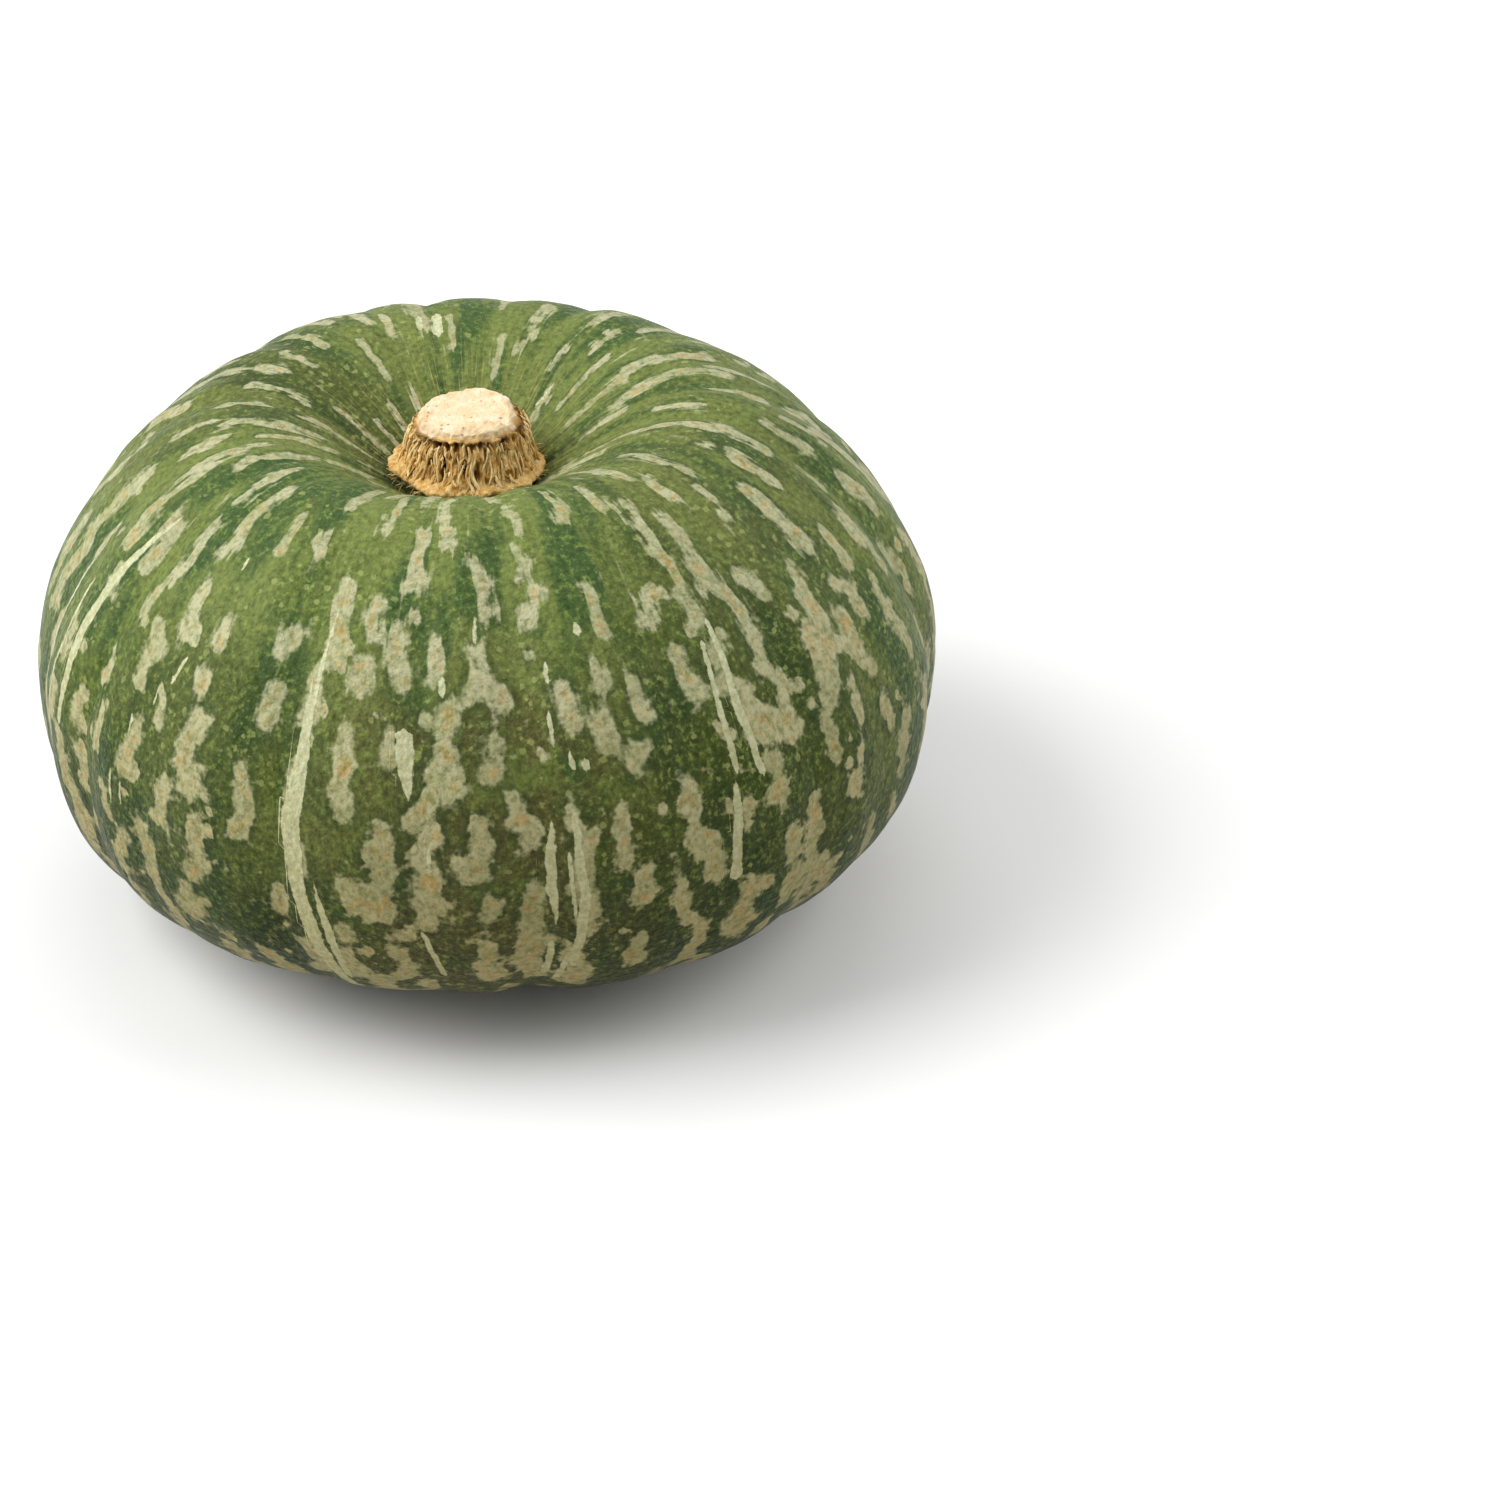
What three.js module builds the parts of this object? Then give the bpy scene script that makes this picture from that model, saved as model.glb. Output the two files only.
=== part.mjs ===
// A whole kabocha squash: a flattened round fruit with shallow lobes, a funnel at the stem end and a
// hollow at the blossom end, carrying a short corky stem that was cut off level.
// Millimetres, +Z up. The origin is at the middle of the base, on the surface the squash rests on.

import * as THREE from "three";

// Fruit. Heights are measured from its widest level until the whole is set down on z = 0.
const fruitRadius = 100;
const crownHeight = 77.5; // of the upper half before the funnel is pressed in
const crownFullness = 1.8; // exponent of the upper half's curve; 2 is an ellipse
const bellyDepth = 58.1; // of the lower half before it is flattened
const bellyFullness = 2.75;
const restDepth = 57; // the lobes are flattened at this depth, where the squash lay
const funnelDepth = 42;
const funnelRadius = 36;
const blossomHollowDepth = 7;
const blossomHollowRadius = 19;
const seatHeight = 39.3; // the level scar that the stem grows from
const stemShift = -3.4; // the stem end sits a little to one side
const droop = { depth: 3.4, start: -0.2, full: 1.1 }; // the -X side hangs lower; start, full in radii
const endFade = 1.5; // exponent with which the shift and the furrows fade towards an end
const swellings = [
  { count: 2, share: 0.007, phase: -1.2 }, // slow waves round the girth, as shares of its radius
  { count: 3, share: 0.005, phase: 2.2 },
];
const flatSide = { angle: -8, spread: 27, depth: 3.3 }; // degrees; the belly is flatter in front

// Lobes: furrows run from the stem to the blossom end, deep and shallow in turn.
const furrowCount = 20;
const furrowPitch = 360 / furrowCount;
const furrowStart = -7; // degrees from the front, which faces -Y
const furrowJitter = { size: 3, step: 2.1, phase: 2.6 };
const depthJitter = { share: 0.25, step: 1.3 };
const furrowWidth = 4.6; // degrees from the middle of a furrow to where it has mostly faded
const deepFurrow = 1.7;
const shallowFurrow = 0.8;
const furrowReach = 80; // radius inside which the furrows start to die out
const bellyFurrowFade = 0.45; // share of its depth that a furrow loses under the belly

// Stem: a flared collar on the funnel's seat, a waist and a cut top, as heights above the seat.
const stemFoot = { radius: 9.2, height: 0.35 };
const collar = { innerRadius: 14.4, innerHeight: 2.7, radius: 17, lowHeight: 4.4, highHeight: 5.3 };
const shoulder = { radius: 16, height: 6.6 };
const waist = { radius: 14, height: 11 };
const cutEdge = { radius: 12.1, height: 17.3 };
const cutBevel = 0.7;
const cutDome = 0.5;
const strandCount = 17; // corky ridges down the stem's side
const strandHeight = 0.45;
const strandDrift = 1.5; // radians by which the ridges crowd together
const strandFade = 3; // distance under the cut in which they die out

const fruitSegments = { around: 90, down: 42 };
const stemSegments = 60;

const skinGreen = 0x5f7d43;
const corkTan = 0xc9a66b;

// Angle of furrow k from the front, in degrees, unevenly spaced as it grows.
function furrowAngle(k) {
  const jitter = furrowJitter.size * Math.sin(furrowJitter.step * k + furrowJitter.phase);
  return furrowPitch * k + furrowStart + jitter;
}

const furrows = [];
for (let k = -furrowCount / 2; k < furrowCount / 2; k += 1) {
  const usual = k % 2 === 0 ? shallowFurrow : deepFurrow;
  const share = 1 + depthJitter.share * Math.sin(depthJitter.step * k);
  furrows.push({ angle: furrowAngle(k), depth: usual * share });
}

// Depth of the lobing at an angle from the front: a sum of bell-shaped grooves.
function furrowDepth(angle) {
  let depth = 0;
  for (const furrow of furrows) {
    const away = THREE.MathUtils.euclideanModulo(angle - furrow.angle + 180, 360) - 180;
    depth += furrow.depth * Math.exp(-((away / furrowWidth) ** 2));
  }
  return depth;
}

// The meridian at polar angle t, 0 at the stem end and pi at the blossom end.
// Each half is a superellipse; the funnel and the blossom hollow are bell-shaped dents in it.
function meridian(t) {
  const upper = Math.cos(t) > 0;
  const fullness = upper ? crownFullness : bellyFullness;
  const height = upper ? crownHeight : bellyDepth;
  const reach = (Math.sin(t) ** fullness + Math.abs(Math.cos(t)) ** fullness) ** (-1 / fullness);
  const radius = fruitRadius * reach * Math.sin(t);
  let level = height * reach * Math.cos(t);
  if (upper) {
    level -= funnelDepth * Math.exp(-((radius / funnelRadius) ** 2));
    if (radius < collar.radius) level = Math.max(level, seatHeight);
  } else {
    level += blossomHollowDepth * Math.exp(-((radius / blossomHollowRadius) ** 2));
  }
  return new THREE.Vector2(radius, level);
}

// The outward direction of the meridian, square to the line between two points close by.
function meridianNormal(t) {
  const step = 0.02;
  const ahead = meridian(Math.min(t + step, Math.PI));
  const behind = meridian(Math.max(t - step, 0));
  return new THREE.Vector2(behind.y - ahead.y, ahead.x - behind.x).normalize();
}

// A point of the skin: the meridian swung to its angle, pressed in along its normal by the furrows,
// with slow swellings round the girth.
function skinPoint(t, angle) {
  const here = meridian(t);
  const normal = meridianNormal(t);
  const ends = Math.min(1, here.x / furrowReach) ** endFade;
  const belly = Math.max(0, -Math.cos(t));
  const fade = ends * (1 - bellyFurrowFade * belly);
  const flattened = flatSide.depth * Math.exp(-(((angle - flatSide.angle) / flatSide.spread) ** 2));
  const pressed = fade * furrowDepth(angle) + ends * belly * flattened;
  const turn = THREE.MathUtils.degToRad(angle);
  let swelling = 1;
  for (const wave of swellings) swelling += wave.share * Math.sin(wave.count * turn + wave.phase);
  const radius = (here.x - normal.x * pressed) * swelling;
  const x = radius * Math.sin(turn);
  const hanging = THREE.MathUtils.smoothstep(-x / fruitRadius, droop.start, droop.full);
  const level = here.y - normal.y * pressed - droop.depth * hanging;
  const shift = stemShift * Math.max(0, Math.cos(t)) ** endFade;
  return new THREE.Vector3(x + shift, -radius * Math.cos(turn), level);
}

// A ball whose vertices are carried to the skin, then flattened where the squash rests.
function fruitGeometry() {
  const geometry = new THREE.SphereGeometry(1, fruitSegments.around, fruitSegments.down);
  geometry.rotateX(Math.PI / 2);
  const position = geometry.getAttribute("position");
  const along = new THREE.Vector3();
  for (let i = 0; i < position.count; i += 1) {
    along.fromBufferAttribute(position, i);
    const t = Math.acos(THREE.MathUtils.clamp(along.z, -1, 1));
    const angle = THREE.MathUtils.radToDeg(Math.atan2(along.x, -along.y));
    const point = skinPoint(t, angle);
    position.setXYZ(i, point.x, point.y, Math.max(point.z, -restDepth));
  }
  return geometry;
}

// A turned profile from the foot up to the cut face, then ridged down its side.
function stemGeometry() {
  const curve = new THREE.SplineCurve([
    new THREE.Vector2(collar.radius, collar.highHeight),
    new THREE.Vector2(shoulder.radius, shoulder.height),
    new THREE.Vector2(waist.radius, waist.height),
    new THREE.Vector2(cutEdge.radius, cutEdge.height - cutBevel),
  ]);
  const profile = [
    new THREE.Vector2(0, stemFoot.height),
    new THREE.Vector2(stemFoot.radius, stemFoot.height),
    new THREE.Vector2(collar.innerRadius, collar.innerHeight),
    new THREE.Vector2(collar.radius, collar.lowHeight),
    ...curve.getPoints(9),
    new THREE.Vector2(cutEdge.radius - cutBevel, cutEdge.height),
    new THREE.Vector2(cutEdge.radius / 2, cutEdge.height + cutDome),
    new THREE.Vector2(0, cutEdge.height + cutDome),
  ];
  const geometry = new THREE.LatheGeometry(profile, stemSegments);
  geometry.rotateX(Math.PI / 2);
  const position = geometry.getAttribute("position");
  for (let i = 0; i < position.count; i += 1) {
    const x = position.getX(i);
    const y = position.getY(i);
    const z = position.getZ(i);
    const radius = Math.hypot(x, y);
    if (radius < stemFoot.radius - cutBevel || z < collar.innerHeight) continue;
    const turn = Math.atan2(y, x);
    const ridge = strandHeight * Math.sin(strandCount * turn + strandDrift * Math.sin(2 * turn));
    const grown = 1 + (ridge * Math.min(1, (cutEdge.height - z) / strandFade)) / radius;
    position.setXYZ(i, x * grown, y * grown, z);
  }
  return geometry;
}

function material(color, roughness) {
  return new THREE.MeshStandardMaterial({ color, roughness, metalness: 0 });
}

const fruit = new THREE.Mesh(fruitGeometry(), material(skinGreen, 0.5));
fruit.name = "fruit";

const stem = new THREE.Mesh(stemGeometry(), material(corkTan, 0.85));
stem.name = "stem";
stem.position.set(stemShift, 0, seatHeight);

// The lowest lobes come to z = 0, and the middle of the outline to the Z axis.
const squash = new THREE.Group();
squash.add(fruit, stem);
const outline = new THREE.Box3().setFromObject(squash, true);
const middle = outline.getCenter(new THREE.Vector3());
squash.position.set(-middle.x, -middle.y, -outline.min.z);

export default squash;
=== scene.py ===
# A whole kabocha squash: mottled green rind, shallow lobes and a corky stem, on a pale table.
import math
import bpy
import numpy as np
from mathutils import Euler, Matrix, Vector


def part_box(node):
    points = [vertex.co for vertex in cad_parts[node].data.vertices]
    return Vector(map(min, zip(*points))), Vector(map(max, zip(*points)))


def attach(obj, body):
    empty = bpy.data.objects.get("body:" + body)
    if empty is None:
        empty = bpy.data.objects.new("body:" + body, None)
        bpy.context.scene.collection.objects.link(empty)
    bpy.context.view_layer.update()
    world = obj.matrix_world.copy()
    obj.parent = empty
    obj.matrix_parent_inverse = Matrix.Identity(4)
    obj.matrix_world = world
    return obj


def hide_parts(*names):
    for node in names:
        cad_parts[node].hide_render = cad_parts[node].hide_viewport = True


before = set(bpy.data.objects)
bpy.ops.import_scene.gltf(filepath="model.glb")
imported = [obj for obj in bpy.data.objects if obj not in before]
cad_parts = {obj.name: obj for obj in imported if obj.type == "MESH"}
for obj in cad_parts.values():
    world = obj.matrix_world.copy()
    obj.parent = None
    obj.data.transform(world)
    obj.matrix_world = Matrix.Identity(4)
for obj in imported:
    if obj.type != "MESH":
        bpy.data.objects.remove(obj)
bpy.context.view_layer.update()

mm = 0.001  # shapes are worked out in millimetres and placed in metres


# Surfaces worked out on a grid

outlineSteps = 4001

# Smooth bumps between -1 and 1. Random heights stand on a lattice that closes round the girth, and
# between its points they are blended with the weight 3t^2 - 2t^3. turn and along run from 0 to 1.
def bumps(turn, along, around, down, seed):
    lattice = np.random.default_rng(seed).uniform(-1, 1, (down + 2, around))
    column, row = np.mod(turn, 1) * around, along * down
    left, top = np.floor(column).astype(int), np.floor(row).astype(int)
    right, low = (left + 1) % around, top + 1
    left = left % around
    x, y = column - np.floor(column), row - top
    x, y = x * x * (3 - 2 * x), y * y * (3 - 2 * y)
    upper = lattice[top, left] * (1 - x) + lattice[top, right] * x
    lower = lattice[low, left] * (1 - x) + lattice[low, right] * x
    return upper * (1 - y) + lower * y


# A weight that rises from 0 at low to 1 at high along 3t^2 - 2t^3; low above high makes it fall.
def rise(value, low, high):
    t = np.clip((value - low) / (high - low), 0, 1)
    return t * t * (3 - 2 * t)


# An angle brought between -180 and 180 degrees.
def folded(angle):
    return np.mod(angle + 180, 360) - 180


# A bell e^(-(away/spread)^2) at an angle from the front, with its middle and spread in degrees.
def bell(angle, middle, spread):
    return np.exp(-(folded(angle - middle) / spread) ** 2)


# An outline of radius and height walked at equal steps, with its corners rounded by averaging over
# a bell of the given length. Both ends lie on the axis, where the radius changes sign.
def evenOutline(radius, level, rows, rounding):
    arc = np.concatenate([[0], np.cumsum(np.hypot(np.diff(radius), np.diff(level)))])
    fine = np.linspace(0, arc[-1], outlineSteps)
    radius, level = np.interp(fine, arc, radius), np.interp(fine, arc, level)
    half = max(1, int(rounding / fine[1]))
    weights = np.hanning(2 * half + 3)[1:-1]
    weights /= weights.sum()
    ends = [-radius[half:0:-1], radius, -radius[-2:-half - 2:-1]]
    radius = np.convolve(np.concatenate(ends), weights, "valid")
    ends = [level[half:0:-1], level, level[-2:-half - 2:-1]]
    level = np.convolve(np.concatenate(ends), weights, "valid")
    walked = np.linspace(0, arc[-1], rows)
    return np.interp(walked, fine, radius), np.interp(walked, fine, level), walked


# The outward direction along an outline: its tangent turned a quarter to the left.
def outlineNormal(radius, level):
    across, up = -np.gradient(level), np.gradient(radius)
    size = np.hypot(across, up)
    return across / size, up / size


# A closed mesh from rows of points round an axis. The first and last rows each shrink to one point,
# and the faces between are quads that close round the girth.
def turnedMesh(name, points):
    rows, columns = points.shape[:2]
    ring = np.arange(columns)
    nextRing = np.roll(ring, -1)
    first = 1 + columns * np.arange(rows - 3)[:, None]
    quads = np.stack([first + ring, first + columns + ring,
                      first + columns + nextRing, first + nextRing], axis=2).reshape(-1, 4)
    last = 1 + columns * (rows - 2)
    top = np.stack([np.zeros(columns, int), 1 + ring, 1 + nextRing], axis=1)
    low = last - columns
    bottom = np.stack([low + ring, np.full(columns, last), low + nextRing], axis=1)
    vertices = np.concatenate([points[0, :1], points[1:-1].reshape(-1, 3), points[-1, :1]])
    mesh = bpy.data.meshes.new(name)
    mesh.from_pydata(vertices.tolist(), [], quads.tolist() + top.tolist() + bottom.tolist())
    mesh.shade_smooth()
    piece = bpy.data.objects.new(name, mesh)
    bpy.context.scene.collection.objects.link(piece)
    return piece


# Stores one number or one direction at each point of a turned mesh, for its material to read.
def paint(piece, name, values):
    flat = np.concatenate([values[0, :1], values[1:-1].reshape(-1, *values.shape[2:]),
                           values[-1, :1]])
    kind = ("FLOAT_VECTOR", "vector") if values.ndim == 3 else ("FLOAT", "value")
    layer = piece.data.attributes.new(name, kind[0], "POINT")
    layer.data.foreach_set(kind[1], flat.astype(np.float32).ravel())


# Materials

# A colour given as the usual 0 to 255 screen values, made linear.
def tint(red, green, blue):
    channels = np.array([red, green, blue]) / 255
    linear = np.where(channels > 0.04045, ((channels + 0.055) / 1.055) ** 2.4, channels / 12.92)
    return (*[float(channel) for channel in linear], 1.0)


# Adds a node. Sockets given a number or a colour are set, and those given a socket are linked.
def addNode(tree, kind, sockets, **settings):
    node = tree.nodes.new("ShaderNode" + kind)
    for name, value in settings.items():
        setattr(node, name, value)
    for name, value in sockets.items():
        if isinstance(value, bpy.types.NodeSocket):
            tree.links.new(value, node.inputs[name])
        else:
            node.inputs[name].default_value = value
    return node


# One step of arithmetic: the operation done on a and b.
def calc(tree, operation, a, b=0.0):
    return addNode(tree, "Math", {0: a, 1: b}, operation=operation).outputs[0]


# Weights multiplied together.
def product(tree, *factors):
    result = factors[0]
    for factor in factors[1:]:
        result = calc(tree, "MULTIPLY", result, factor)
    return result


# A noise of 0 to 1 made to swing both ways: (noise - 0.5) times its size.
def swing(tree, noise, size):
    return product(tree, calc(tree, "SUBTRACT", noise, 0.5), size)


# A weight that eases from 0 at low to 1 at high.
def ease(tree, value, low, high):
    sockets = {"Value": value, "From Min": low, "From Max": high}
    return addNode(tree, "MapRange", sockets, interpolation_type="SMOOTHSTEP").outputs[0]


# One colour laid over another: (1 - weight) under + weight over, or multiplied by it.
def blend(tree, weight, under, over, kind="MIX"):
    return addNode(tree, "Mix", {0: weight, 6: under, 7: over}, data_type="RGBA",
                   blend_type=kind).outputs[2]


# Cloudy noise, with perMetre patches to the metre.
def clouds(tree, place, perMetre, detail=2.0, roughness=0.5, distortion=0.0):
    sockets = {"Vector": place, "Scale": perMetre, "Detail": detail, "Roughness": roughness,
               "Distortion": distortion}
    return addNode(tree, "TexNoise", sockets).outputs[0]


# Distance to the nearest of scattered points, in cells, and a random number for each cell.
def cells(tree, place, perMetre):
    node = addNode(tree, "TexVoronoi", {"Vector": place, "Scale": perMetre})
    number = addNode(tree, "SeparateColor", {0: node.outputs["Color"]}).outputs[0]
    return node.outputs["Distance"], number


# Reads what was painted on the mesh under a name.
def layer(tree, name, output="Fac"):
    return addNode(tree, "Attribute", {}, attribute_name=name).outputs[output]


# Moves and stretches a place, so that patterns read from it don't repeat one another.
def moved(tree, place, offset, scale=(1, 1, 1)):
    return addNode(tree, "Mapping", {"Vector": place, "Location": offset, "Scale": scale}).outputs[0]


def newMaterial(name):
    material = bpy.data.materials.new(name)
    material.use_nodes = True
    tree = material.node_tree
    return material, tree, tree.nodes["Principled BSDF"]


# Fruit

fruit = {
    "columns": 448,
    "rows": 214,
    # the same outline as the solid it stands for
    "radius": 100,
    "crownHeight": 77.5,
    "crownFullness": 1.8,
    "bellyDepth": 58.1,
    "bellyFullness": 2.75,
    "restDepth": 57,
    "funnelDepth": 42,
    "funnelRadius": 36,
    "polarSquash": 0.65,  # flattens a point before its polar angle is taken
    "hollowDepth": 7,
    "hollowRadius": 19,
    "seatHeight": 39.3,
    "seatRadius": 17,
    "stemShift": -3.4,
    "droop": {"depth": 3.4, "start": -0.2, "full": 1.1},  # the -X side hangs lower
    "endFade": 1.5,  # exponent with which the shift and the furrows fade towards an end
    "swellings": [(2, 0.007, -1.2), (3, 0.005, 2.2)],  # round the girth: count, share, phase
    "flatAngle": -8,
    "flatSpread": 27,
    "flatDepth": 3.3,
    "furrowReach": 80,
    "furrows": 20,
    "furrowStart": -7,
    "furrowJitter": {"size": 3, "step": 2.1, "phase": 2.6},
    "depthJitter": {"share": 0.25, "step": 1.3},
    "furrowWidth": 4.6,
    "deepFurrow": 1.7,
    "shallowFurrow": 0.8,
    "bellyFurrowFade": 0.45,
    # what the solid leaves out
    "rounding": 2.5,
    "restSoftness": 0.35,  # how gently the skin turns flat where it rests
    "furrowWander": 0.9,
    "creaseDepth": 0.35,
    "creaseWidth": 0.9,
    "lump": 0.55,
    "lumpReach": 38,  # radius inside which the lumps die out
    "dimple": 0.12,
    "stemCrease": 0.5,
    "pucker": 0.5,
    "grainRound": 100,  # radius of the drum that the grain is laid on
    "grainStretch": 0.3,
}


# The half outline of the fruit: each half is |r/R|^n + |z/H|^n = 1, less a bell-shaped funnel at the
# stem and a bell-shaped hollow at the blossom end.
def fruitOutline():
    t = np.linspace(0, np.pi, outlineSteps)
    upper = np.cos(t) > 0
    fullness = np.where(upper, fruit["crownFullness"], fruit["bellyFullness"])
    height = np.where(upper, fruit["crownHeight"], fruit["bellyDepth"])
    reach = (np.sin(t) ** fullness + np.abs(np.cos(t)) ** fullness) ** (-1 / fullness)
    radius = fruit["radius"] * reach * np.sin(t)
    level = height * reach * np.cos(t)
    funnel = fruit["funnelDepth"] * np.exp(-(radius / fruit["funnelRadius"]) ** 2)
    hollow = fruit["hollowDepth"] * np.exp(-(radius / fruit["hollowRadius"]) ** 2)
    level = np.where(upper, level - funnel, level + hollow)
    onSeat = upper & (radius < fruit["seatRadius"])
    level = np.where(onSeat, np.maximum(level, fruit["seatHeight"]), level)
    radius, level, walked = evenOutline(radius, level, fruit["rows"], fruit["rounding"])
    cosine = level / np.hypot(level, fruit["polarSquash"] * radius + 1e-9)
    return radius, level, walked, cosine


# How far each point of the skin stands off the turned outline. Furrow k is a bell-shaped groove
# -depth e^(-(away/width)^2) at its own angle that wanders a little, with a finer crease along its
# bottom. Lumps, dimples, creases round the stem and puckers at the blossom end are lattice bumps.
def fruitRelief(turn, along, radius, cosine):
    angle = 360 * turn
    relief = np.zeros(np.broadcast_shapes(turn.shape, along.shape))
    ends = np.clip(radius / fruit["furrowReach"], 0, 1) ** fruit["endFade"]
    poles = np.clip(radius / fruit["lumpReach"], 0, 1) ** fruit["endFade"]
    jitter, uneven = fruit["furrowJitter"], fruit["depthJitter"]
    belly = np.clip(-cosine, 0, 1)
    fade = ends * (1 - fruit["bellyFurrowFade"] * belly)
    flat = fruit["flatDepth"] * bell(angle, fruit["flatAngle"], fruit["flatSpread"])
    relief -= ends * belly * flat
    for k in range(-fruit["furrows"] // 2, fruit["furrows"] // 2):
        middle = (360 / fruit["furrows"]) * k + fruit["furrowStart"]
        middle += jitter["size"] * math.sin(jitter["step"] * k + jitter["phase"])
        wander = fruit["furrowWander"] * bumps(0.5 + 0 * along, along, 4, 6, 100 + k)
        usual = fruit["shallowFurrow"] if k % 2 == 0 else fruit["deepFurrow"]
        depth = usual * (1 + uneven["share"] * math.sin(uneven["step"] * k))
        relief -= fade * depth * bell(angle, middle + wander, fruit["furrowWidth"])
        crease = fruit["creaseDepth"] * depth / fruit["deepFurrow"]
        relief -= fade * crease * bell(angle, middle + wander, fruit["creaseWidth"])
    relief += poles * fruit["lump"] * bumps(turn, along, 22, 9, 1)
    relief += poles * fruit["lump"] / 3 * bumps(turn, along, 60, 24, 2)
    relief += poles * fruit["dimple"] * bumps(turn, along, 140, 60, 3)
    nearStem = rise(radius, 54, 20) * rise(radius, 9, 17)
    relief += fruit["stemCrease"] * nearStem * bumps(turn, along, 64, 5, 4)
    relief += fruit["stemCrease"] / 2 * nearStem * bumps(turn, along, 150, 6, 5)
    underside = rise(along, 0.93, 0.985)
    relief += fruit["pucker"] * underside * bumps(turn, along, 26, 40, 6)
    return relief


# The skin's points: the outline swung round the axis and moved along its normal by the relief, with
# swellings 1 + share sin(count angle + phase) round the girth. Where it rests it is flattened by
# s log(1 + e^(z/s)), z above the table, which is z high up and 0 below.
def fruitPoints():
    radius, level, walked, cosine = fruitOutline()
    across, up = outlineNormal(radius, level)
    turn = np.arange(fruit["columns"])[None, :] / fruit["columns"]
    along = np.linspace(0, 1, fruit["rows"])[:, None]
    relief = fruitRelief(turn, along, radius[:, None], cosine[:, None])
    angle = 2 * np.pi * turn
    swelling = 1 + sum(share * np.sin(count * angle + phase)
                       for count, share, phase in fruit["swellings"])
    outward = (radius[:, None] + across[:, None] * relief) * swelling
    outward[[0, -1]] = 0
    droop = fruit["droop"]
    hanging = rise(-outward * np.sin(angle) / fruit["radius"], droop["start"], droop["full"])
    height = level[:, None] + up[:, None] * relief - droop["depth"] * hanging
    height[[0, -1]] = height[[0, -1]].mean(axis=1, keepdims=True)
    shift = (fruit["stemShift"] * np.clip(cosine, 0, 1) ** fruit["endFade"])[:, None]
    softness = fruit["restSoftness"]
    height = softness * np.logaddexp(0, (height + fruit["restDepth"]) / softness)
    points = np.stack([outward * np.sin(angle) + shift, -outward * np.cos(angle), height], axis=2)
    # into the place of the solid: its middle in plan, its lowest point on the table
    low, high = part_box("fruit")
    plan = (np.array(low[:2]) + np.array(high[:2])) / 2 / mm
    points[..., :2] += plan - (points.min(axis=(0, 1)) + points.max(axis=(0, 1)))[:2] / 2
    points[..., 2] += low[2] / mm - points[..., 2].min()
    return points * mm, turn, along, radius[:, None], walked[:, None]


blotches = {
    "seed": 11,
    "throws": 9000,
    "thrownFrom": 0.055,  # share of the way down the skin
    "thrownTo": 0.97,
    "fullGirth": 640,  # a throw is kept with the share girth / fullGirth
    "size": (0.45, 1.3),
    "lean": 0.5,
    "spots": 400,  # small round ones between the others, where they lie and their half widths
    "spotsFrom": 0.3,
    "spotsTo": 0.97,
    "spotHalfWidth": (0.7, 1.5),
    # down the skin from the stem end, 0 to 1, and the sizes in millimetres there
    "along": [0.06, 0.12, 0.2, 0.3, 0.45, 0.6, 0.75, 0.9, 1.0],
    "halfWidth": [0.8, 1.1, 1.8, 2.5, 3.0, 3.2, 3.1, 2.7, 1.8],
    "halfLength": [9, 11, 11, 9.5, 8.5, 8.5, 8.5, 6.5, 4],
    "gapAcross": [4.0, 4.9, 6.6, 7.8, 8.6, 8.9, 9.2, 8.5, 8],
    "gapAlong": [17, 19, 19, 17, 15, 14, 13, 12, 12],
    # the large ones in front: degrees from the front, where each starts and ends in millimetres
    # down the skin, and its half width
    "front": [
        (4.8, 68, 82, 2.3), (-12.5, 78, 88, 2.4), (22.5, 76, 91, 1.9), (30.5, 82, 90, 3.2),
        (2.8, 88, 100, 3.0), (7.3, 97, 102, 2.2), (14.8, 96, 108, 2.6), (25, 99, 110, 2.4),
        (33, 95, 109, 3.3), (20, 94, 101, 2.4), (3.8, 107, 118, 3.0), (19.5, 104, 114, 2.8),
        (23.1, 112, 119, 3.1), (1.5, 124, 140, 2.9), (7, 122, 132, 2.7), (3, 144, 151, 2.9),
        (19.2, 124, 139, 3.0), (22.2, 139, 149, 3.5), (-8.7, 84, 98, 2.7), (-13.1, 91, 99, 3.0),
        (-15.2, 105, 126, 2.8), (-10, 126, 150, 3.4), (-14, 138, 148, 2.8), (-26.5, 87, 94, 2.9),
        (-26.7, 99, 110, 2.9), (-37, 88, 97, 2.8), (-38, 100, 106, 2.6), (-37, 108, 128, 3.9),
        (-28.7, 117, 135, 3.0), (-41, 126, 140, 3.2), (-8, 152, 171, 3.1), (2, 154, 171, 2.7),
    ],
}


# Adds one blotch to the field: a string of bells e^(-(across/w)^2 - (down/l)^2) laid along its
# meridian from start to end, each a little to one side and of its own width and length.
def addBlotch(field, turn, radius, walked, spin, start, end, halfWidth, lean, rng):
    length = end - start
    count = max(2, round(length / (1.5 * halfWidth)))
    for part in (np.arange(count) + 0.5) / count:
        middle = start + length * part + rng.normal(0, 0.15) * halfWidth
        side = (lean * (part - 0.5) + rng.normal(0, 0.29)) * halfWidth
        width = halfWidth * (0.8 + 0.3 * part) * rng.uniform(0.7, 1.2)
        reach = max(0.62 * length / count, 0.9 * halfWidth) * rng.uniform(0.8, 1.3)
        rows = np.flatnonzero(np.abs(walked[:, 0] - middle) < 3 * reach)
        across = (np.mod(turn - spin + 0.5, 1) - 0.5) * 2 * np.pi * radius[rows] - side
        field[rows] += np.exp(-(across / width) ** 2 - ((walked[rows] - middle) / reach) ** 2)


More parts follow.
